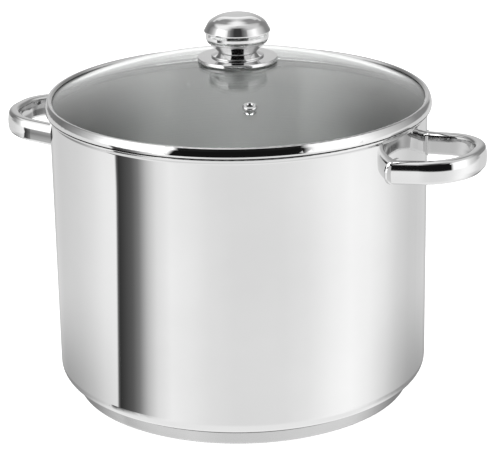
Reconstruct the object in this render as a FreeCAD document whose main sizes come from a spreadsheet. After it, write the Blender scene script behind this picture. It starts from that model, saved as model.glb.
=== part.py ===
import FreeCAD, Part
import math
import os
import Sketcher
from types import SimpleNamespace

# A 28 cm stock pot of stainless steel sheet with an encapsulated base, two welded
# tube handles and a steel-rimmed glass lid with a vent and a two-shell knob.
# Millimetres, +Z up, origin at the centre of the foot, handles along X.

DRIVING = {
    # pot shell
    "wall_radius": 140.0,
    "pot_sheet": 0.8,
    "floor_height": 12.0,
    "floor_round": 10.0,
    "rim_height": 218.3,
    "rim_radius": 141.6,
    "rim_flare": 3.4,
    # sandwich base
    "foot_radius": 127.0,
    "cap_radius": 130.3,
    "cap_height": 11.5,
    "cap_sheet": 0.8,
    "cap_round": 3.2,
    # handles
    "foot_level": 191.5,
    "bar_spread": 39.8,
    "handle_reach": 184.8,
    "tip_spread": 34.4,
    "bend_radius": 33.0,
    "handle_tilt": 3.6,
    "tube_tall": 16.8,
    "tube_thick": 9.4,
    "tube_sheet": 1.2,
    "tube_crown": 1.0,
    "tube_end_round": 3.2,
    "weld_foot_sheet": 1.2,
    "weld_foot_tall": 17.6,
    "weld_foot_outer": 47.4,
    "weld_foot_inner": 31.5,
    # lid glass
    "glass_radius": 141.9,
    "glass_under": 220.3,
    "glass_edge_top": 223.3,
    "glass_edge_round": 1.1,
    "glass_thickness": 4.0,
    "dome_top": 251.8,
    "seat_radius": 25.0,
    "under_seat_radius": 16.0,
    "dome_under_radius": 137.6,
    "screw_hole_radius": 4.4,
    "vent_hole_radius": 3.7,
    "vent_distance": 92.5,
    "vent_bearing": -61.7,
    "vent_slope": 15.0,
    "vent_level": 240.5,
    # lid rim
    "band_radius": 143.1,
    "band_bottom": 218.4,
    "band_top": 226.9,
    "band_sheet": 0.6,
    "band_waist": 222.9,
    "band_shoulder": 141.24,
    "band_bulge": 9.0,
    "skirt_radius": 138.2,
    "skirt_bottom": 213.5,
    "lip_radius": 138.4,
    "lip_level": 224.95,
    # vent eyelet and seal
    "eyelet_flange": 5.1,
    "eyelet_barrel": 3.6,
    "eyelet_bore": 2.1,
    "eyelet_rise": 2.3,
    "eyelet_tail": 1.3,
    "eyelet_flare": 4.6,
    "seal_radius": 4.5,
    "seal_thickness": 0.6,
    # knob
    "disc_radius": 29.6,
    "disc_top": 255.0,
    "disc_sheet": 0.7,
    "hub_radius": 19.6,
    "neck_radius": 14.4,
    "neck_level": 258.4,
    "gasket_radius": 28.0,
    "gasket_thickness": 0.8,
    "knob_sheet": 0.8,
    "knob_foot_radius": 13.8,
    "waist_radius": 17.6,
    "waist_level": 262.3,
    "bowl_radius": 23.2,
    "bowl_level": 271.4,
    "seam_radius": 24.4,
    "seam_level": 274.4,
    "knob_top": 286.5,
    "crown_radius": 12.6,
    "shoulder_radius": 20.9,
    "shoulder_level": 281.4,
    "insert_radius": 6.5,
    "insert_length": 11.0,
    "screw_radius": 2.5,
    "screw_head_radius": 5.2,
    "screw_head_thickness": 3.0,
    "screw_end": 266.0,
    "washer_thickness": 0.8,
    "soft_washer_radius": 12.0,
    "steel_washer_radius": 9.0,
    "spring_washer_radius": 4.6,
    "spring_washer_split": 0.8,
}


class Size:
    """A length that knows its number and the spreadsheet formula it comes from."""

    def __init__(self, number, formula):
        self.number = number
        self.formula = formula

    def __add__(self, other):
        other = as_size(other)
        return Size(self.number + other.number, f"({self.formula} + {other.formula})")

    def __sub__(self, other):
        other = as_size(other)
        return Size(self.number - other.number, f"({self.formula} - {other.formula})")

    def __mul__(self, factor):
        return Size(self.number * factor, f"({self.formula} * {factor})")

    def __truediv__(self, factor):
        return Size(self.number / factor, f"({self.formula} / {factor})")

    def __neg__(self):
        return self * -1


def as_size(value):
    """A bare number becomes a size whose formula is the number itself."""
    if isinstance(value, Size):
        return value
    return Size(float(value), str(value))


doc = FreeCAD.newDocument("stock_pot")
sheet = doc.addObject("Spreadsheet::Sheet", "dimensions")
for row, (word, number) in enumerate(DRIVING.items(), start=1):
    sheet.set(f"A{row}", word)
    sheet.set(f"B{row}", str(number))
    sheet.setAlias(f"B{row}", word)
doc.recompute()
s = SimpleNamespace(**{w: Size(n, f"dimensions.{w}") for w, n in DRIVING.items()})
ZERO = as_size(0)

subparts = []


# ---------------------------------------------------------------- sketch helpers

def new_body(label):
    body = doc.addObject("PartDesign::Body", label)
    body.Label = label
    subparts.append(body)
    return body


def new_sketch(body, name, plane, offset=None):
    """A sketch on one of the body's own origin planes, moved by an optional offset."""
    sketch = body.newObject("Sketcher::SketchObject", f"{body.Label}_{name}")
    for feature in body.Origin.OriginFeatures:
        if feature.Role == plane:
            sketch.AttachmentSupport = [(feature, "")]
    sketch.MapMode = "FlatFace"
    if offset is not None:
        sketch.AttachmentOffset = offset
    return sketch


def bind(sketch, constraint, size):
    """Add a driving constraint and bind its value to the size's formula."""
    index = sketch.addConstraint(constraint)
    sketch.setExpression(f"Constraints[{index}]", size.formula)


def pin_along(sketch, kind, edge, end, size):
    """Hold one coordinate of a point: DistanceX or DistanceY measured from the origin."""
    across = -2 if kind == "DistanceX" else -1
    if abs(size.number) < 1e-9:
        sketch.addConstraint(Sketcher.Constraint("PointOnObject", edge, end, across))
    elif size.number > 0:
        bind(sketch, Sketcher.Constraint(kind, -1, 1, edge, end, size.number), size)
    else:
        bind(sketch, Sketcher.Constraint(kind, edge, end, -1, 1, -size.number), -size)


def pin_point(sketch, edge, end, x, y):
    pin_along(sketch, "DistanceX", edge, end, x)
    pin_along(sketch, "DistanceY", edge, end, y)


class Corner:
    """A corner of an outline: its place, its rounding, and whether a dome leaves it.

    A dome is an arc to the next corner whose centre lies on the sketch's vertical axis.
    """

    def __init__(self, x, y, rounding=None, dome=False):
        self.x = as_size(x)
        self.y = as_size(y)
        self.rounding = None if rounding is None else as_size(rounding)
        self.dome = dome
        self.point = FreeCAD.Vector(self.x.number, self.y.number, 0)


def tangent_points(before, corner, after):
    """Where a corner's rounding leaves its two edges, and the rounding's centre."""
    towards_before = (before.point - corner.point).normalize()
    towards_after = (after.point - corner.point).normalize()
    half_angle = towards_before.getAngle(towards_after) / 2
    setback = corner.rounding.number / math.tan(half_angle)
    bisector = (towards_before + towards_after).normalize()
    centre = corner.point + bisector * (corner.rounding.number / math.sin(half_angle))
    return (corner.point + towards_before * setback,
            corner.point + towards_after * setback,
            centre)


def add_arc(sketch, centre, start, finish):
    """Add the shorter arc and say which of its ends is the start and which the finish."""
    from_start = start - centre
    from_finish = finish - centre
    first = math.atan2(from_start.y, from_start.x)
    last = math.atan2(from_finish.y, from_finish.x)
    anticlockwise = from_start.cross(from_finish).z > 0
    if not anticlockwise:
        first, last = last, first
    if last < first:
        last += 2 * math.pi
    circle = Part.Circle(centre, FreeCAD.Vector(0, 0, 1), from_start.Length)
    edge = sketch.addGeometry(Part.ArcOfCircle(circle, first, last))
    return (edge, 1, 2) if anticlockwise else (edge, 2, 1)


def draw_outline(sketch, corners, closed=True):
    """Draw straight edges, domes and rounded corners through the given corners."""
    count = len(corners)
    edge_count = count if closed else count - 1
    arrive = {}
    leave = {}
    rounds = {}
    for i, corner in enumerate(corners):
        arrive[i] = leave[i] = corner.point
        if corner.rounding is not None:
            into, out, centre = tangent_points(corners[i - 1], corner, corners[(i + 1) % count])
            arrive[i] = into
            leave[i] = out
            rounds[i] = centre
    edges = []
    for i in range(edge_count):
        start = leave[i]
        finish = arrive[(i + 1) % count]
        if corners[i].dome:
            difference = start.Length ** 2 - finish.Length ** 2
            centre = FreeCAD.Vector(0, difference / (2 * (start.y - finish.y)), 0)
            edges.append(add_arc(sketch, centre, start, finish))
            sketch.addConstraint(Sketcher.Constraint("PointOnObject", edges[-1][0], 3, -2))
        else:
            edges.append((sketch.addGeometry(Part.LineSegment(start, finish)), 1, 2))
    for i, corner in enumerate(corners):
        has_before = closed or i > 0
        has_after = closed or i < count - 1
        before = edges[i - 1] if has_before else None
        after = edges[i] if has_after else None
        if corner.rounding is not None:
            arc = add_arc(sketch, rounds[i], arrive[i], leave[i])
            mark = sketch.addGeometry(Part.Point(corner.point), True)
            pin_point(sketch, mark, 1, corner.x, corner.y)
            sketch.addConstraint(Sketcher.Constraint("PointOnObject", mark, 1, before[0]))
            sketch.addConstraint(Sketcher.Constraint("PointOnObject", mark, 1, after[0]))
            sketch.addConstraint(Sketcher.Constraint("Tangent", before[0], before[2], arc[0], arc[1]))
            sketch.addConstraint(Sketcher.Constraint("Tangent", arc[0], arc[2], after[0], after[1]))
            bind(sketch, Sketcher.Constraint("Radius", arc[0], corner.rounding.number),
                 corner.rounding)
        elif before is None:
            pin_point(sketch, after[0], after[1], corner.x, corner.y)
        else:
            pin_point(sketch, before[0], before[2], corner.x, corner.y)
            if after is not None:
                sketch.addConstraint(
                    Sketcher.Constraint("Coincident", before[0], before[2], after[0], after[1]))


def draw_circle(sketch, radius, x=ZERO, y=ZERO):
    circle = Part.Circle(FreeCAD.Vector(x.number, y.number, 0), FreeCAD.Vector(0, 0, 1), radius.number)
    edge = sketch.addGeometry(circle)
    pin_point(sketch, edge, 3, x, y)
    bind(sketch, Sketcher.Constraint("Radius", edge, radius.number), radius)


def draw_flattened_tube(sketch, tall, thick, crown, end_round):
    """A tall rounded section about the sketch's origin whose two faces are crowned."""
    half_tall = tall / 2
    half_thick = thick / 2
    shoulder = half_thick - crown
    swell = half_thick + crown * 0.25
    face_round = tall * 1.6
    draw_outline(sketch, [
        Corner(swell, 0, face_round),
        Corner(shoulder, half_tall, end_round),
        Corner(-shoulder, half_tall, end_round),
        Corner(-swell, 0, face_round),
        Corner(-shoulder, -half_tall, end_round),
        Corner(shoulder, -half_tall, end_round),
    ])


# --------------------------------------------------------------- feature helpers

def revolve(body, corners, name="turn"):
    """Turn a closed outline, drawn as (radius, height) corners, about the Z axis."""
    sketch = new_sketch(body, f"{name}_outline", "XZ_Plane")
    draw_outline(sketch, corners)
    feature = body.newObject("PartDesign::Revolution", f"{body.Label}_{name}")
    feature.Profile = sketch
    feature.ReferenceAxis = (sketch, ["V_Axis"])
    feature.Angle = 360
    return feature


def cut_through(body, sketch, name):
    """Cut the sketch through the whole body, both ways, and prove that it cut."""
    doc.recompute()
    before = body.Shape.Volume
    pocket = body.newObject("PartDesign::Pocket", f"{body.Label}_{name}")
    pocket.Profile = sketch
    pocket.Type = "ThroughAll"
    pocket.Midplane = True
    doc.recompute()
    if body.Shape.Volume > before - 1:
        raise RuntimeError(f"{body.Label} {name} cut nothing")
    return pocket


def turned(label, corners):
    """A sub-part that is one turned solid."""
    body = new_body(label)
    revolve(body, corners)
    return body


# --------------------------------------------------------------------------- pot

def make_pot_body():
    """One drawn shell: flat floor, rounded corner, straight wall and a flared rim."""
    inside = s.wall_radius - s.pot_sheet
    flare_start = s.rim_height - s.rim_flare
    lip_round = 0.35
    turned("pot_body", [
        Corner(0, s.floor_height),
        Corner(s.wall_radius, s.floor_height, s.floor_round),
        Corner(s.wall_radius, flare_start, 1.6),
        Corner(s.rim_radius, s.rim_height - 1.5, 0.8),
        Corner(s.rim_radius, s.rim_height, lip_round),
        Corner(s.rim_radius - s.pot_sheet - 0.6, s.rim_height, lip_round),
        Corner(inside, flare_start + 0.8, 1.6),
        Corner(inside, s.floor_height + s.pot_sheet, s.floor_round - s.pot_sheet),
        Corner(0, s.floor_height + s.pot_sheet),
    ])


def make_base():
    """Aluminium heat disc under the floor, closed in by a pressed steel cap."""
    core_foot = s.foot_radius - s.cap_sheet * 0.85
    core_round = s.cap_round - s.cap_sheet
    core_top = s.cap_radius - s.cap_sheet
    turned("base_core_disc", [
        Corner(0, s.cap_sheet),
        Corner(core_foot, s.cap_sheet, core_round),
        Corner(core_top, s.floor_height),
        Corner(0, s.floor_height),
    ])
    turned("base_cap", [
        Corner(0, 0),
        Corner(s.foot_radius, 0, s.cap_round),
        Corner(s.cap_radius, s.cap_height),
        Corner(core_top - 0.12, s.cap_height),
        Corner(core_foot, s.cap_sheet, core_round),
        Corner(0, s.cap_sheet),
    ])


def handle_plane():
    """The tilted plane in which the handle's tube is bent."""
    tilt = FreeCAD.Rotation(FreeCAD.Vector(0, 1, 0), -s.handle_tilt.number)
    rise = s.foot_level.number - s.wall_radius.number * math.tan(math.radians(s.handle_tilt.number))
    return FreeCAD.Placement(FreeCAD.Vector(0, 0, rise), tilt)


def make_handle(label, turn):
    """A bent oval tube whose ends sit on two curved feet welded to the wall."""
    body = new_body(label)
    bar_start = s.wall_radius - 20.0

    feet = new_sketch(body, "feet_outline", "YZ_Plane")
    foot_round = s.weld_foot_tall * 0.44
    low = s.foot_level - s.weld_foot_tall / 2
    high = s.foot_level + s.weld_foot_tall / 2
    for inner, outer in ((s.weld_foot_inner, s.weld_foot_outer),
                         (-s.weld_foot_inner, -s.weld_foot_outer)):
        draw_outline(feet, [Corner(inner, low, 2.0), Corner(outer, low, foot_round),
                            Corner(outer, high, foot_round), Corner(inner, high, 2.0)])
    blank = body.newObject("PartDesign::Pad", f"{label}_feet")
    blank.Profile = feet
    blank.setExpression("Length", (s.wall_radius + 10.0).formula)

    around = new_sketch(body, "feet_trim_outline", "XY_Plane")
    draw_circle(around, s.wall_radius + s.weld_foot_sheet)
    draw_circle(around, s.wall_radius * 2.0)
    cut_through(body, around, "feet_trim")

    plane = handle_plane()
    path = new_sketch(body, "path", "XY_Plane", plane)
    draw_outline(path, [
        Corner(bar_start, -s.bar_spread),
        Corner(s.handle_reach, -s.tip_spread, s.bend_radius),
        Corner(s.handle_reach, s.tip_spread, s.bend_radius),
        Corner(bar_start, s.bar_spread),
    ], closed=False)

    lean = math.atan2(s.bar_spread.number - s.tip_spread.number,
                      s.handle_reach.number - bar_start.number)
    along = FreeCAD.Vector(math.cos(lean), math.sin(lean), 0)
    across = FreeCAD.Vector(-math.sin(lean), math.cos(lean), 0)
    upright = FreeCAD.Vector(0, 0, 1)
    start = FreeCAD.Vector(bar_start.number, -s.bar_spread.number, 0)
    square_on = FreeCAD.Placement(start, FreeCAD.Rotation(across, upright, along, "ZYX"))
    section = new_sketch(body, "section", "XY_Plane", plane.multiply(square_on))
    draw_flattened_tube(section, s.tube_tall, s.tube_thick, s.tube_crown, s.tube_end_round)
    draw_flattened_tube(section, s.tube_tall - s.tube_sheet * 2, s.tube_thick - s.tube_sheet * 2,
                        s.tube_crown, s.tube_end_round - s.tube_sheet)
    doc.recompute()

    tube = body.newObject("PartDesign::AdditivePipe", f"{label}_tube")
    tube.Profile = section
    tube.Spine = (path, [f"Edge{n}" for n in range(1, len(path.Shape.Edges) + 1)])
    doc.recompute()

    within = new_sketch(body, "wall_trim_outline", "XY_Plane")
    draw_circle(within, s.wall_radius)
    cut_through(body, within, "wall_trim")
    body.Placement = FreeCAD.Placement(FreeCAD.Vector(0, 0, 0),
                                       FreeCAD.Rotation(FreeCAD.Vector(0, 0, 1), turn))


# --------------------------------------------------------------------------- lid

def vent_placement():
    """On the glass, square to its slope at the vent."""
    bearing = FreeCAD.Rotation(FreeCAD.Vector(0, 0, 1), s.vent_bearing.number)
    slope = FreeCAD.Rotation(FreeCAD.Vector(0, 1, 0), s.vent_slope.number)
    out = bearing.multVec(FreeCAD.Vector(s.vent_distance.number, 0, s.vent_level.number))
    return FreeCAD.Placement(out, bearing.multiply(slope))


def make_lid_glass():
    """A moulded dome of even thickness with flat seats for the knob's washers."""
    body = new_body("lid_glass")
    revolve(body, [
        Corner(0, s.dome_top),
        Corner(s.seat_radius, s.dome_top, dome=True),
        Corner(s.glass_radius, s.glass_edge_top),
        Corner(s.glass_radius, s.glass_under, s.glass_edge_round),
        Corner(s.dome_under_radius, s.glass_under, dome=True),
        Corner(s.under_seat_radius, s.dome_top - s.glass_thickness),
        Corner(0, s.dome_top - s.glass_thickness),
    ])
    knob_hole = new_sketch(body, "knob_hole_outline", "XY_Plane")
    draw_circle(knob_hole, s.screw_hole_radius)
    cut_through(body, knob_hole, "knob_hole")
    vent_hole = new_sketch(body, "vent_hole_outline", "XY_Plane", vent_placement())
    draw_circle(vent_hole, s.vent_hole_radius)
    cut_through(body, vent_hole, "vent_hole")


def make_lid_rim_band():
    """A bulged steel channel round the glass edge, hemmed below, with a skirt that drops into the pot."""
    wall_inside = s.band_radius - s.band_sheet
    top_inside = s.band_top - s.band_sheet
    turned("lid_rim_band", [
        Corner(s.skirt_radius, s.skirt_bottom),
        Corner(s.skirt_radius, s.band_bottom),
        Corner(s.band_radius, s.band_bottom, 0.9),
        Corner(s.band_radius, s.band_waist, s.band_bulge),
        Corner(s.band_shoulder, s.band_top, 1.0),
        Corner(s.lip_radius + 1.3, s.band_top, 1.2),
        Corner(s.lip_radius - 0.3, s.lip_level + 0.5),
        Corner(s.lip_radius, s.lip_level),
        Corner(s.lip_radius + 1.6, top_inside, 0.5),
        Corner(s.band_shoulder - 0.4, top_inside, 0.4),
        Corner(wall_inside, s.band_waist - 0.13, s.band_bulge - s.band_sheet),
        Corner(wall_inside, s.glass_under),
        Corner(s.skirt_radius - s.band_sheet, s.glass_under, 0.5),
        Corner(s.skirt_radius - s.band_sheet, s.skirt_bottom),
    ])


def make_vent():
    """A hollow rivet through the glass on a soft ring; steam leaves by its bore."""
    seat = s.seal_thickness
    tail = -(s.glass_thickness + s.eyelet_tail)
    eyelet = turned("vent_eyelet", [
        Corner(s.eyelet_bore, tail),
        Corner(s.eyelet_flare, tail, 0.3),
        Corner(s.eyelet_flare, tail + 0.55),
        Corner(s.eyelet_barrel, tail + 0.75),
        Corner(s.eyelet_barrel, seat),
        Corner(s.eyelet_flange, seat),
        Corner(s.eyelet_flange, seat + s.eyelet_rise, 1.3),
        Corner(s.eyelet_bore + 0.6, seat + s.eyelet_rise, 0.5),
        Corner(s.eyelet_bore, seat + s.eyelet_rise - 0.9),
    ])
    seal = turned("vent_seal", [
        Corner(s.eyelet_barrel, 0),
        Corner(s.seal_radius, 0),
        Corner(s.seal_radius, seat),
        Corner(s.eyelet_barrel, seat),
    ])
    for part in (eyelet, seal):
        part.Placement = vent_placement()


def make_knob():
    """A pressed disc, then a hollow knob of two spun shells round a threaded insert."""
    gasket_top = s.dome_top + s.gasket_thickness
    screw_gap = s.screw_radius + 0.3
    hub_edge = s.disc_top + 1.3
    turned("knob_gasket", [
        Corner(s.screw_hole_radius, s.dome_top),
        Corner(s.gasket_radius, s.dome_top),
        Corner(s.gasket_radius, gasket_top, 0.3),
        Corner(s.screw_hole_radius, gasket_top),
    ])
    turned("knob_disc", [
        Corner(s.disc_radius, gasket_top),
        Corner(s.disc_radius, s.disc_top, 0.8),
        Corner(s.hub_radius - 0.3, s.disc_top + 0.2),
        Corner(s.hub_radius, hub_edge, 0.7),
        Corner(s.neck_radius, s.neck_level, 0.4),
        Corner(screw_gap, s.neck_level),
        Corner(screw_gap, s.neck_level - s.disc_sheet),
        Corner(s.neck_radius - 0.4, s.neck_level - s.disc_sheet),
        Corner(s.hub_radius - s.disc_sheet - 0.2, hub_edge - 0.5),
        Corner(s.hub_radius - s.disc_sheet - 0.3, s.disc_top - s.disc_sheet),
        Corner(s.disc_radius - s.disc_sheet, s.disc_top - s.disc_sheet),
        Corner(s.disc_radius - s.disc_sheet, gasket_top),
    ])
    inside = s.knob_sheet
    turned("knob_bowl", [
        Corner(screw_gap, s.neck_level),
        Corner(s.knob_foot_radius, s.neck_level, 0.4),
        Corner(s.waist_radius, s.waist_level),
        Corner(s.bowl_radius, s.bowl_level - 4.0, 5.0),
        Corner(s.bowl_radius, s.bowl_level, 1.0),
        Corner(s.seam_radius - 0.9, s.seam_level - 0.6),
        Corner(s.bowl_radius - inside, s.seam_level - 0.6),
        Corner(s.bowl_radius - inside, s.bowl_level - 3.6, 4.2),
        Corner(s.waist_radius - inside, s.waist_level + 0.6),
        Corner(s.knob_foot_radius - inside, s.neck_level + inside),
        Corner(screw_gap, s.neck_level + inside),
    ])
    turned("knob_dome", [
        Corner(0, s.knob_top),
        Corner(s.crown_radius, s.knob_top - 0.3, 18.0),
        Corner(s.shoulder_radius, s.shoulder_level, 9.0),
        Corner(s.seam_radius, s.seam_level + 0.4),
        Corner(s.seam_radius, s.seam_level - 0.6, 0.3),
        Corner(s.seam_radius - inside, s.seam_level - 0.6),
        Corner(s.seam_radius - inside, s.seam_level + 0.2),
        Corner(s.shoulder_radius - 0.7, s.shoulder_level - 0.4, 8.2),
        Corner(s.crown_radius - 0.3, s.knob_top - 0.3 - inside, 17.2),
        Corner(0, s.knob_top - inside),
    ])
    insert_foot = s.neck_level + inside
    turned("knob_insert", [
        Corner(s.screw_radius, insert_foot),
        Corner(s.insert_radius, insert_foot, 0.4),
        Corner(s.insert_radius, insert_foot + s.insert_length, 0.6),
        Corner(s.screw_radius, insert_foot + s.insert_length),
    ])


def make_knob_fastening():
    """From below: soft bush, flat washer, split washer and the screw that pulls all tight."""
    glass_below = s.dome_top - s.glass_thickness
    soft_below = glass_below - s.washer_thickness
    flat_below = soft_below - s.washer_thickness
    split_below = flat_below - s.washer_thickness
    bush_bore = s.screw_radius + 0.1
    turned("soft_bush", [
        Corner(bush_bore, soft_below),
        Corner(s.soft_washer_radius, soft_below, 0.3),
        Corner(s.soft_washer_radius, glass_below),
        Corner(s.screw_hole_radius, glass_below),
        Corner(s.screw_hole_radius, s.dome_top + s.gasket_thickness),
        Corner(bush_bore, s.dome_top + s.gasket_thickness),
    ])
    turned("flat_washer", [
        Corner(bush_bore, flat_below),
        Corner(s.steel_washer_radius, flat_below, 0.2),
        Corner(s.steel_washer_radius, soft_below, 0.2),
        Corner(bush_bore, soft_below),
    ])
    split = new_body("spring_washer")
    revolve(split, [
        Corner(bush_bore, split_below),
        Corner(s.spring_washer_radius, split_below),
        Corner(s.spring_washer_radius, flat_below),
        Corner(bush_bore, flat_below),
    ])
    slot = new_sketch(split, "split_outline", "XY_Plane")
    half = s.spring_washer_split / 2
    draw_outline(slot, [Corner(1.0, -half), Corner(8.0, -half), Corner(8.0, half), Corner(1.0, half)])
    cut_through(split, slot, "split")
    recess_depth = 1.6
    recess_radius = 1.5
    head_below = split_below - s.screw_head_thickness
    turned("knob_screw", [
        Corner(0, head_below + recess_depth),
        Corner(recess_radius, head_below + recess_depth),
        Corner(recess_radius, head_below),
        Corner(s.screw_head_radius, head_below, 1.6),
        Corner(s.screw_head_radius, split_below),
        Corner(s.screw_radius, split_below),
        Corner(s.screw_radius, s.screw_end, 0.5),
        Corner(0, s.screw_end),
    ])


# ------------------------------------------------------------------------- write

def check_document():
    """Stop before anything is written if a feature failed or a sub-part has no solid."""
    doc.recompute()
    for item in doc.Objects:
        if "Invalid" in item.State or "Error" in item.State:
            raise RuntimeError(f"{item.Label} is {item.State}")
    for part in subparts:
        if part.Shape.isNull() or not part.Shape.isValid():
            raise RuntimeError(f"{part.Label} has no valid shape")
        if len(part.Shape.Solids) != 1:
            raise RuntimeError(f"{part.Label} has {len(part.Shape.Solids)} solids")


def write_parts():
    os.makedirs("parts", exist_ok=True)
    for part in subparts:
        part.Shape.exportStep(f"parts/{part.Label}.step")
        print(f"{part.Label}: {part.Shape.Volume / 1000:.2f} cm3, {len(part.Shape.Solids)} solid")


make_pot_body()
make_base()
make_handle("handle_right", 0)
make_handle("handle_left", 180)
make_lid_glass()
make_lid_rim_band()
make_vent()
make_knob()
make_knob_fastening()
check_document()
write_parts()
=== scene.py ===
import math

import bmesh
import bpy
from mathutils import Matrix, Vector

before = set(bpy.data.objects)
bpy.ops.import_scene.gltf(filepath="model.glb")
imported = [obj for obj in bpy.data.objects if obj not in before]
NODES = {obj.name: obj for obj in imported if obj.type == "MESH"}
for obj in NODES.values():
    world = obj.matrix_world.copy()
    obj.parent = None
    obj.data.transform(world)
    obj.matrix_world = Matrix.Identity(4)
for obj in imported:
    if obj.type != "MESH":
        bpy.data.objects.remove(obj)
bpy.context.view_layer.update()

MM = 0.001
scene = bpy.context.scene

# The camera stands off the pot's corner, so the +X handle comes forward on the right.
CAMERA_BEARING = 0.41       # radians round Z from the -Y side
CAMERA_REACH = 1.40829      # metres from the pot's axis
CAMERA_HEIGHT = 0.61523
CAMERA_PITCH = 0.3367       # radians, down
CAMERA_YAW = 0.0050
CAMERA_ROLL = -0.0167
CAMERA_LENS = 141.54
LAMP_REACH = 1.2            # metres from the lid
LAMP_AIM = (0.0, 0.0, 0.22)

# The shell's floor bend, from the CAD model, in millimetres.
BEND_RADIUS = 130           # of the bend's centre line round the pot's axis
BEND_HEIGHT = 22
SKIN_SPLIT = 9.6            # distance from the centre line to the middle of the sheet
# A belt's real lines are about 0.1 mm apart, too fine to show, so they are drawn this coarse.
BELT_LINE = 0.8


# ---------------------------------------------------------------- helpers

def linear(code):
    """A hex colour in sRGB as the linear colour that the shaders take."""
    parts = [int(code[i:i + 2], 16) / 255 for i in (0, 2, 4)]
    return [p / 12.92 if p <= 0.04045 else ((p + 0.055) / 1.055) ** 2.4 for p in parts] + [1.0]


def add_node(tree, kind, links=None, **settings):
    """A node with its settings; links are values or other nodes' sockets, by socket name or number."""
    node = tree.nodes.new(kind)
    for name, value in settings.items():
        setattr(node, name, value)
    for name, source in (links or {}).items():
        if isinstance(source, bpy.types.NodeSocket):
            tree.links.new(source, node.inputs[name])
        else:
            node.inputs[name].default_value = source
    return node


def set_stops(ramp_node, stops):
    """Fills a colour ramp with (position, grey or colour) stops."""
    ramp = ramp_node.color_ramp
    while len(ramp.elements) > 1:
        ramp.elements.remove(ramp.elements[-1])
    for number, (position, value) in enumerate(stops):
        element = ramp.elements[0] if number == 0 else ramp.elements.new(position)
        element.position = position
        element.color = value if hasattr(value, "__len__") else (value, value, value, 1.0)


# ---------------------------------------------------------------- camera

def place_camera():
    camera = bpy.data.objects.new("camera", bpy.data.cameras.new("camera"))
    scene.collection.objects.link(camera)
    ahead = Vector((
        math.sin(CAMERA_YAW) * math.cos(CAMERA_PITCH),
        math.cos(CAMERA_YAW) * math.cos(CAMERA_PITCH),
        -math.sin(CAMERA_PITCH),
    ))
    level = Vector((math.cos(CAMERA_YAW), -math.sin(CAMERA_YAW), 0.0))
    upward = level.cross(ahead)
    side = level * math.cos(CAMERA_ROLL) + upward * math.sin(CAMERA_ROLL)
    top = upward * math.cos(CAMERA_ROLL) - level * math.sin(CAMERA_ROLL)
    turn = Matrix.Rotation(CAMERA_BEARING, 3, "Z")
    columns = Matrix([turn @ side, turn @ top, turn @ -ahead]).transposed()
    place = turn @ Vector((0.0, -CAMERA_REACH, CAMERA_HEIGHT))
    camera.matrix_world = Matrix.Translation(place) @ columns.to_4x4()
    camera.data.lens = CAMERA_LENS
    camera.data.sensor_width = 36.0
    camera.data.clip_start = 0.05
    camera.data.clip_end = 60.0
    scene.camera = camera


# ---------------------------------------------------------------- studio

# Brightness of the low ring of the studio, which the upright steel mirrors:
# degrees round from the camera (+ to its right) against brightness.
LOW_RING = [
    (-180, 0.50), (-168, 0.55), (-155, 0.80), (-140, 0.82), (-115, 0.94), (-102, 1.04),
    (-90, 1.18), (-80, 1.24), (-78.6, 0.04), (-75, 0.07), (-68, 0.14), (-63, 0.29),
    (-57, 0.74), (-51, 1.05), (-42, 1.22), (-30, 1.15), (-19, 1.06), (-5, 1.02),
    (25, 1.04), (40, 1.11), (55, 1.26), (70, 1.36), (85, 1.31), (98, 1.18),
    (110, 1.00), (125, 0.86), (155, 0.80), (168, 0.55), (180, 0.50),
]
# The horizon ring: a black gap behind the camera between two bright panels, dim at the pot's far sides.
HORIZON_RING = [
    (-180, 0.75), (-165, 0.62), (-150, 0.30), (-125, 0.22), (-108, 0.45), (-95, 0.85),
    (-85, 1.60), (-60, 2.00), (-42, 2.00), (-38, 0.01), (38, 0.01), (44, 1.50),
    (72, 1.60), (90, 1.00), (108, 0.65), (125, 0.32), (148, 0.30), (165, 0.55), (180, 0.75),
]
# The high ring, below the ceiling: the gap closes, and the back is bright.
HIGH_RING = [
    (-180, 0.90), (-170, 0.70), (-160, 0.35), (-145, 0.35), (-130, 0.90), (-100, 1.30),
    (-62, 1.25), (-45, 0.90), (-27, 0.25), (-12, 0.06), (16, 0.06), (30, 0.30), (45, 0.60),
    (60, 0.80), (100, 0.85), (132, 0.70), (145, 0.35), (160, 0.35), (170, 0.70), (180, 0.90),
]
# The ceiling: a little less light over the right and the front.
CEILING_RING = [
    (-180, 1.30), (-90, 1.25), (-50, 0.90), (0, 0.60), (50, 0.70), (90, 0.80), (150, 1.20), (180, 1.30),
]
# Each layer takes over from the one before it between two heights, in degrees above the horizon.
LAYERS = [(-9, -5, HORIZON_RING), (30, 44, HIGH_RING), (58, 74, CEILING_RING)]
# The ground close to the pot takes over between two heights, at one brightness.
NEAR_GROUND = (-32, -50, 1.15)
# The pot shades the ground behind it: degrees below the horizon, degrees round, and how deep.
SHADE_RISE = (-20.5, -25.0)
SHADE_BEARING = (60, 150)
SHADE_DEPTH = 0.60
# The black flag leans by this much for each radian below a height in degrees.
LEAN = 0.60
LEAN_START = -18.1
RING_SCALE = 4.0            # a colour ramp holds up to 1, so the rings are stored at a quarter


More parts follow.
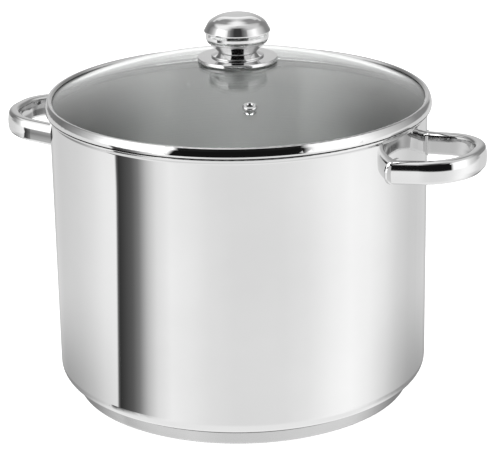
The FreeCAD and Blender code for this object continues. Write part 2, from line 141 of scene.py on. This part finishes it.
def build_studio():
    """A light tent: pale all round, with one black flag low on the left and an unlit gap behind the camera."""
    world = bpy.data.worlds.new("light_tent")
    scene.world = world
    world.use_nodes = True
    tree = world.node_tree
    tree.nodes.clear()
    coordinates = add_node(tree, "ShaderNodeTexCoord")
    turned = add_node(
        tree, "ShaderNodeVectorRotate",
        {"Vector": coordinates.outputs["Generated"], "Angle": -CAMERA_BEARING},
        rotation_type="Z_AXIS",
    )
    parts = add_node(tree, "ShaderNodeSeparateXYZ", {0: turned.outputs[0]})
    forward = add_node(tree, "ShaderNodeMath", {0: parts.outputs["Y"], 1: -1.0}, operation="MULTIPLY")
    bearing = add_node(
        tree, "ShaderNodeMath", {0: parts.outputs["X"], 1: forward.outputs[0]}, operation="ARCTAN2")
    turns = add_node(
        tree, "ShaderNodeMapRange", {"Value": bearing.outputs[0], "From Min": -math.pi, "From Max": math.pi})
    rise = add_node(tree, "ShaderNodeMath", {0: parts.outputs["Z"]}, operation="ARCSINE")
    # The flag leans in towards its foot, so its edge stands upright in the round wall.
    leftward = add_node(tree, "ShaderNodeMath", {0: bearing.outputs[0], 1: 0.0}, operation="MINIMUM")
    depth = add_node(
        tree, "ShaderNodeMath", {0: rise.outputs[0], 1: math.radians(-LEAN_START)}, operation="ADD")
    depth = add_node(tree, "ShaderNodeMath", {0: depth.outputs[0], 1: 0.0}, operation="MINIMUM")
    lean = add_node(
        tree, "ShaderNodeMath", {0: leftward.outputs[0], 1: depth.outputs[0]}, operation="MULTIPLY")
    leaning = add_node(
        tree, "ShaderNodeMath", {0: lean.outputs[0], 1: LEAN, 2: bearing.outputs[0]},
        operation="MULTIPLY_ADD")
    low_turns = add_node(
        tree, "ShaderNodeMapRange", {"Value": leaning.outputs[0], "From Min": -math.pi, "From Max": math.pi})

    # Close behind the pot the ground is shaded by it.
    away = add_node(tree, "ShaderNodeMath", {0: bearing.outputs[0]}, operation="ABSOLUTE")
    steep = add_node(
        tree, "ShaderNodeMapRange",
        {"Value": rise.outputs[0], "From Min": math.radians(SHADE_RISE[0]),
         "From Max": math.radians(SHADE_RISE[1]), "To Max": SHADE_DEPTH},
        interpolation_type="SMOOTHSTEP")
    behind = add_node(
        tree, "ShaderNodeMapRange",
        {"Value": away.outputs[0], "From Min": math.radians(SHADE_BEARING[0]),
         "From Max": math.radians(SHADE_BEARING[1])},
        interpolation_type="SMOOTHSTEP")
    shaded = add_node(tree, "ShaderNodeMath", {0: steep.outputs[0], 1: behind.outputs[0]}, operation="MULTIPLY")
    lit = add_node(tree, "ShaderNodeMath", {0: 1.0, 1: shaded.outputs[0]}, operation="SUBTRACT")

    # One colour ramp for each ring, over one turn.
    brightness = []
    for table, source in [(LOW_RING, low_turns)] + [(layer[2], turns) for layer in LAYERS]:
        ramp = add_node(tree, "ShaderNodeValToRGB", {"Fac": source.outputs[0]})
        set_stops(ramp, [((degrees + 180) / 360, value / RING_SCALE) for degrees, value in table])
        brightness.append(ramp.outputs["Color"])
    low = add_node(tree, "ShaderNodeMath", {0: brightness[0], 1: lit.outputs[0]}, operation="MULTIPLY")

    light = low.outputs[0]
    start, end, level = NEAR_GROUND
    stack = [(start, end, level / RING_SCALE)]
    stack += [(layer[0], layer[1], ramp) for layer, ramp in zip(LAYERS, brightness[1:])]
    for start, end, layer in stack:
        blend = add_node(
            tree, "ShaderNodeMapRange",
            {"Value": rise.outputs[0], "From Min": math.radians(start), "From Max": math.radians(end)},
            interpolation_type="SMOOTHSTEP")
        light = add_node(
            tree, "ShaderNodeMix", {"Factor": blend.outputs[0], "A": light, "B": layer}, data_type="FLOAT",
        ).outputs[0]
    strength = add_node(tree, "ShaderNodeMath", {0: light, 1: RING_SCALE}, operation="MULTIPLY")
    glow = add_node(
        tree, "ShaderNodeBackground", {"Color": (1.0, 1.0, 1.0, 1.0), "Strength": strength.outputs[0]})
    paper = add_node(tree, "ShaderNodeBackground", {"Color": (1.0, 1.0, 1.0, 1.0), "Strength": 1.0})
    seen = add_node(tree, "ShaderNodeLightPath")
    mixed = add_node(
        tree, "ShaderNodeMixShader",
        {0: seen.outputs["Is Camera Ray"], 1: glow.outputs[0], 2: paper.outputs[0]})
    add_node(tree, "ShaderNodeOutputWorld", {"Surface": mixed.outputs[0]})


def add_softbox(name, bearing, rise, width, height, power, lit):
    """A square lamp on a stand, aimed at the lid, that lights only the named nodes."""
    lamp = bpy.data.objects.new(name, bpy.data.lights.new(name, "AREA"))
    scene.collection.objects.link(lamp)
    lamp.data.shape = "RECTANGLE"
    lamp.data.size, lamp.data.size_y = width, height
    lamp.data.energy = power
    bearing, rise = math.radians(bearing), math.radians(rise)
    out = Vector((math.sin(bearing) * math.cos(rise), -math.cos(bearing) * math.cos(rise), math.sin(rise)))
    out.rotate(Matrix.Rotation(CAMERA_BEARING, 3, "Z"))
    aim = Vector(LAMP_AIM)
    turn = out.to_track_quat("Z", "Y")
    lamp.matrix_world = Matrix.Translation(aim + out * LAMP_REACH) @ turn.to_matrix().to_4x4()
    lamp.visible_camera = False
    receivers = bpy.data.collections.new(name + "_lights")
    for node in lit:
        receivers.objects.link(NODES[node])
    lamp.light_linking.receiver_collection = receivers


def add_lamps():
    """Two wide softboxes light the satin inside through the glass, and a small one lights the knob's back edge."""
    inside = ["pot_body", "lid_glass"]
    bright_work = ["knob_dome", "knob_bowl", "knob_disc"]
    add_softbox("left_softbox", -44, 62, 0.9, 1.1, 12.0, inside)
    add_softbox("right_softbox", 40, 62, 0.9, 1.1, 12.0, inside)
    add_softbox("back_softbox", 180, 36, 1.0, 0.4, 0.6, bright_work)


def build_floor():
    """A sweep of white paper that glows a little, so that the ground stays as pale as the paper behind."""
    mesh = bpy.data.meshes.new("floor")
    form = bmesh.new()
    bmesh.ops.create_circle(form, cap_ends=True, radius=14.0, segments=96)
    form.to_mesh(mesh)
    form.free()
    floor = bpy.data.objects.new("floor", mesh)
    scene.collection.objects.link(floor)
    material = bpy.data.materials.new("white_paper_sweep")
    material.use_nodes = True
    tree = material.node_tree
    shader = tree.nodes["Principled BSDF"]
    shader.inputs["Base Color"].default_value = linear("F7F7F7")
    shader.inputs["Roughness"].default_value = 0.9
    shader.inputs["Emission Color"].default_value = (1.0, 1.0, 1.0, 1.0)
    shader.inputs["Emission Strength"].default_value = 0.75
    mesh.materials.append(material)
    floor.visible_glossy = False


# ---------------------------------------------------------------- materials

def new_material(name):
    material = bpy.data.materials.new(name)
    material.use_nodes = True
    return material, material.node_tree, material.node_tree.nodes["Principled BSDF"]


def turned_place(tree):
    """Radius and height as a flat vector, so a pattern runs in rings round the pot's axis."""
    coordinates = add_node(tree, "ShaderNodeTexCoord")
    parts = add_node(tree, "ShaderNodeSeparateXYZ", {0: coordinates.outputs["Object"]})
    flat = add_node(tree, "ShaderNodeCombineXYZ", {"X": parts.outputs["X"], "Y": parts.outputs["Y"]})
    radius = add_node(tree, "ShaderNodeVectorMath", {0: flat.outputs[0]}, operation="LENGTH")
    place = add_node(
        tree, "ShaderNodeCombineXYZ", {"X": radius.outputs["Value"], "Y": parts.outputs["Z"]})
    return place.outputs[0], radius.outputs["Value"], parts.outputs["Z"]


def steel(name, pale, dark, roughness, line_mm, relief_mm, stretch=None, cloud_mm=70, shade_line=None):
    """Stainless steel: polishing or spinning lines in the gloss and relief, and faint clouding in the colour.
    stretch None makes rings round the axis; otherwise it is the squeeze of the pattern along x, y and z.
    The last argument gives the height and half height in millimetres of a band painted dark as shade, for the
    shadow in a gap under an edge."""
    material, tree, shader = new_material(name)
    shader.inputs["Metallic"].default_value = 1.0
    if stretch is None:
        place = turned_place(tree)[0]
    else:
        coordinates = add_node(tree, "ShaderNodeTexCoord")
        place = add_node(
            tree, "ShaderNodeMapping", {"Vector": coordinates.outputs["Object"], "Scale": stretch}).outputs[0]
    lines = add_node(
        tree, "ShaderNodeTexNoise",
        {"Vector": place, "Scale": 1 / (line_mm * MM), "Detail": 3.0, "Roughness": 0.6})
    position = add_node(tree, "ShaderNodeTexCoord")
    clouds = add_node(
        tree, "ShaderNodeTexNoise",
        {"Vector": position.outputs["Object"], "Scale": 1 / (cloud_mm * MM), "Detail": 4.0})
    tint = add_node(tree, "ShaderNodeValToRGB", {"Fac": clouds.outputs["Fac"]})
    set_stops(tint, [(0.30, linear(dark)), (0.70, linear(pale))])
    colour = tint.outputs["Color"]
    # Painted shade: a dark band at one height stands in for the shadow in the gap under an edge.
    if shade_line:
        height = add_node(tree, "ShaderNodeSeparateXYZ", {0: position.outputs["Object"]})
        painted_shade_mask = add_node(
            tree, "ShaderNodeMath", {0: height.outputs["Z"], 1: shade_line[0] * MM, 2: shade_line[1] * MM},
            operation="COMPARE")
        colour = add_node(
            tree, "ShaderNodeMixRGB", {"Fac": painted_shade_mask.outputs[0], "Color1": colour, "Color2": linear("1E1D1C")},
        ).outputs[0]
    tree.links.new(colour, shader.inputs["Base Color"])
    gloss = add_node(
        tree, "ShaderNodeMapRange",
        {"Value": lines.outputs["Fac"], "From Min": 0.25, "From Max": 0.75,
         "To Min": roughness[0], "To Max": roughness[1]})
    tree.links.new(gloss.outputs[0], shader.inputs["Roughness"])
    bump = add_node(
        tree, "ShaderNodeBump",
        {"Strength": 1.0, "Distance": relief_mm * MM, "Height": lines.outputs["Fac"]})
    tree.links.new(bump.outputs[0], shader.inputs["Normal"])
    return material


def pot_steel():
    """18/10 stainless sheet: mirror-buffed outside, satin-brushed in rings inside."""
    material, tree, shader = new_material("mirror_outside_satin_inside_stainless")
    shader.inputs["Metallic"].default_value = 1.0
    place, radius, height = turned_place(tree)
    # Distance from the bend's centre line tells the inner skin from the outer one.
    out = add_node(
        tree, "ShaderNodeMath", {0: radius, 1: BEND_RADIUS * MM}, operation="SUBTRACT")
    out = add_node(tree, "ShaderNodeMath", {0: out.outputs[0], 1: 0.0}, operation="MAXIMUM")
    down = add_node(tree, "ShaderNodeMath", {0: BEND_HEIGHT * MM, 1: height}, operation="SUBTRACT")
    down = add_node(tree, "ShaderNodeMath", {0: down.outputs[0], 1: 0.0}, operation="MAXIMUM")
    corner = add_node(tree, "ShaderNodeCombineXYZ", {"X": out.outputs[0], "Y": down.outputs[0]})
    reach = add_node(tree, "ShaderNodeVectorMath", {0: corner.outputs[0]}, operation="LENGTH")
    inside = add_node(
        tree, "ShaderNodeMath", {0: reach.outputs["Value"], 1: SKIN_SPLIT * MM}, operation="LESS_THAN").outputs[0]
    lines = add_node(
        tree, "ShaderNodeTexNoise",
        {"Vector": place, "Scale": 1 / (BELT_LINE * MM), "Detail": 3.0, "Roughness": 0.6})
    position = add_node(tree, "ShaderNodeTexCoord")
    clouds = add_node(
        tree, "ShaderNodeTexNoise",
        {"Vector": position.outputs["Object"], "Scale": 1 / (90 * MM), "Detail": 4.0})
    tint = add_node(tree, "ShaderNodeValToRGB", {"Fac": clouds.outputs["Fac"]})
    set_stops(tint, [(0.30, linear("D3D3D3")), (0.70, linear("D9D9D9"))])
    brushed = add_node(tree, "ShaderNodeValToRGB", {"Fac": lines.outputs["Fac"]})
    set_stops(brushed, [(0.30, linear("C2C2C2")), (0.70, linear("CCCCCB"))])
    colour = add_node(
        tree, "ShaderNodeMixRGB",
        {"Fac": inside, "Color1": tint.outputs["Color"], "Color2": brushed.outputs["Color"]})
    tree.links.new(colour.outputs[0], shader.inputs["Base Color"])
    mirror = add_node(
        tree, "ShaderNodeMapRange",
        {"Value": clouds.outputs["Fac"], "To Min": 0.02, "To Max": 0.05})
    satin = add_node(
        tree, "ShaderNodeMapRange",
        {"Value": lines.outputs["Fac"], "From Min": 0.25, "From Max": 0.75, "To Min": 0.34, "To Max": 0.42})
    gloss = add_node(
        tree, "ShaderNodeMix", {"Factor": inside, "A": mirror.outputs[0], "B": satin.outputs[0]},
        data_type="FLOAT")
    tree.links.new(gloss.outputs[0], shader.inputs["Roughness"])
    depth = add_node(
        tree, "ShaderNodeMapRange", {"Value": inside, "To Min": 0.01, "To Max": 1.0})
    bump = add_node(
        tree, "ShaderNodeBump",
        {"Strength": depth.outputs[0], "Distance": 0.012 * MM, "Height": lines.outputs["Fac"]})
    tree.links.new(bump.outputs[0], shader.inputs["Normal"])
    # The belt runs round the pot, so its lines spread a highlight up and down and not along them.
    shader.inputs["Anisotropic"].default_value = 0.97
    shader.inputs["Anisotropic Rotation"].default_value = 0.25
    along = add_node(
        tree, "ShaderNodeVectorMath", {0: (0.0, 0.0, 1.0), 1: position.outputs["Object"]},
        operation="CROSS_PRODUCT")
    tree.links.new(along.outputs[0], shader.inputs["Tangent"])
    return material


def lid_glass():
    """Toughened soda-lime glass, pressed and fire-polished: clear, with a faint green in its depth."""
    material, tree, shader = new_material("toughened_soda_lime_glass")
    shader.inputs["Base Color"].default_value = linear("FDFFFE")
    shader.inputs["Transmission Weight"].default_value = 1.0
    shader.inputs["IOR"].default_value = 1.52
    position = add_node(tree, "ShaderNodeTexCoord")
    wipes = add_node(
        tree, "ShaderNodeTexNoise",
        {"Vector": position.outputs["Object"], "Scale": 1 / (60 * MM), "Detail": 3.0})
    gloss = add_node(
        tree, "ShaderNodeMapRange",
        {"Value": wipes.outputs["Fac"], "From Min": 0.4, "From Max": 0.8, "To Min": 0.0, "To Max": 0.02})
    tree.links.new(gloss.outputs[0], shader.inputs["Roughness"])
    return material


def silicone():
    """Clear food-grade silicone, moulded: soft milky grey with a low sheen."""
    material, tree, shader = new_material("moulded_clear_silicone")
    position = add_node(tree, "ShaderNodeTexCoord")
    haze = add_node(
        tree, "ShaderNodeTexNoise",
        {"Vector": position.outputs["Object"], "Scale": 1 / (3 * MM), "Detail": 3.0})
    tint = add_node(tree, "ShaderNodeValToRGB", {"Fac": haze.outputs["Fac"]})
    set_stops(tint, [(0.3, linear("C9CBCA")), (0.7, linear("DEE0DF"))])
    tree.links.new(tint.outputs["Color"], shader.inputs["Base Color"])
    shader.inputs["Roughness"].default_value = 0.42
    shader.inputs["IOR"].default_value = 1.41
    shader.inputs["Transmission Weight"].default_value = 0.35
    return material


def paint_nodes():
    """Gives every node its finish: name, light and dark colour, roughness, line spacing and relief."""
    # Oval tube, bent and buffed along its length: long soft reflections that bend round the loop.
    polished_tube = steel(
        "buffed_stainless_tube", "DDDDDD", "D2D2D2", (0.03, 0.08), 1.2, 0.0004, stretch=(0.06, 1.0, 1.0))
    finishes = {
        "pot_body": pot_steel(),
        # Pressed cap, lightly satined: a softer, paler ring, with a dark line painted in at its top edge as the
        # shade in the gap against the shell.
        "base_cap": steel(
            "pressed_satin_stainless", "C6C6C6", "B8B8B8", (0.12, 0.20), 0.9, 0.004, shade_line=(11.3, 0.7)),
        # Mill-rolled aluminium, sealed inside the base: dull and slightly blue.
        "base_core_disc": steel("rolled_aluminium_core", "CFD0D2", "B9BBBE", (0.34, 0.48), 0.7, 0.010),
        "handle_right": polished_tube,
        "handle_left": polished_tube,
        # Roll-formed strip, mirror polished: one crisp bright line all round, with painted shade in its lower lip
        # for the dark gap over the pot's rim.
        "lid_rim_band": steel(
            "rolled_mirror_stainless_band", "DCDCDC", "D2D2D2", (0.03, 0.07), 0.8, 0.0006, shade_line=(218.9, 0.85)),
        # Spun and mirror-polished shells: sharp reflections, with faint rings from the lathe.
        "knob_disc": steel("spun_mirror_stainless_flange", "DDDDDD", "D2D2D2", (0.03, 0.09), 0.5, 0.0008),
        "knob_bowl": steel("spun_mirror_stainless_bowl", "DDDDDD", "D2D2D2", (0.02, 0.06), 0.6, 0.0006),
        "knob_dome": steel("spun_mirror_stainless_crown", "DDDDDD", "D4D4D4", (0.02, 0.06), 0.6, 0.0004),
        # Rolled over in a press: bright, with a slight blur from the tool.
        "vent_eyelet": steel("rolled_stainless_eyelet", "DDDDDD", "D2D2D2", (0.06, 0.12), 0.3, 0.0006),
        # Turned on a lathe: plain grey with tool rings.
        "knob_insert": steel("machined_stainless_insert", "C9C9C9", "BDBDBD", (0.20, 0.34), 0.35, 0.004),
        # Punched and tumbled: even, dull grey.
        "flat_washer": steel("punched_stainless_washer", "CDCDCD", "C0C0C0", (0.18, 0.30), 0.4, 0.003),
        # Hardened and tempered: the darkest of the fittings.
        "spring_washer": steel("spring_steel_washer", "B9B9BA", "A6A6A8", (0.22, 0.36), 0.4, 0.004),
        # Cold headed: smooth, with a low shine.
        "knob_screw": steel("cold_headed_stainless_screw", "CBCBCB", "BCBCBC", (0.16, 0.28), 0.3, 0.003),
        "lid_glass": lid_glass(),
    }
    rubber = silicone()
    for name in ("vent_seal", "knob_gasket", "soft_bush"):
        finishes[name] = rubber
    for name, material in finishes.items():
        data = NODES[name].data
        if not data.materials:
            data.materials.append(material)
        for place in NODES[name].material_slots:
            place.material = material


# ---------------------------------------------------------------- making

place_camera()
build_studio()
build_floor()
add_lamps()
paint_nodes()
scene.view_settings.view_transform = "Standard"
scene.cycles.max_bounces = 20
scene.cycles.glossy_bounces = 10
scene.cycles.transmission_bounces = 14
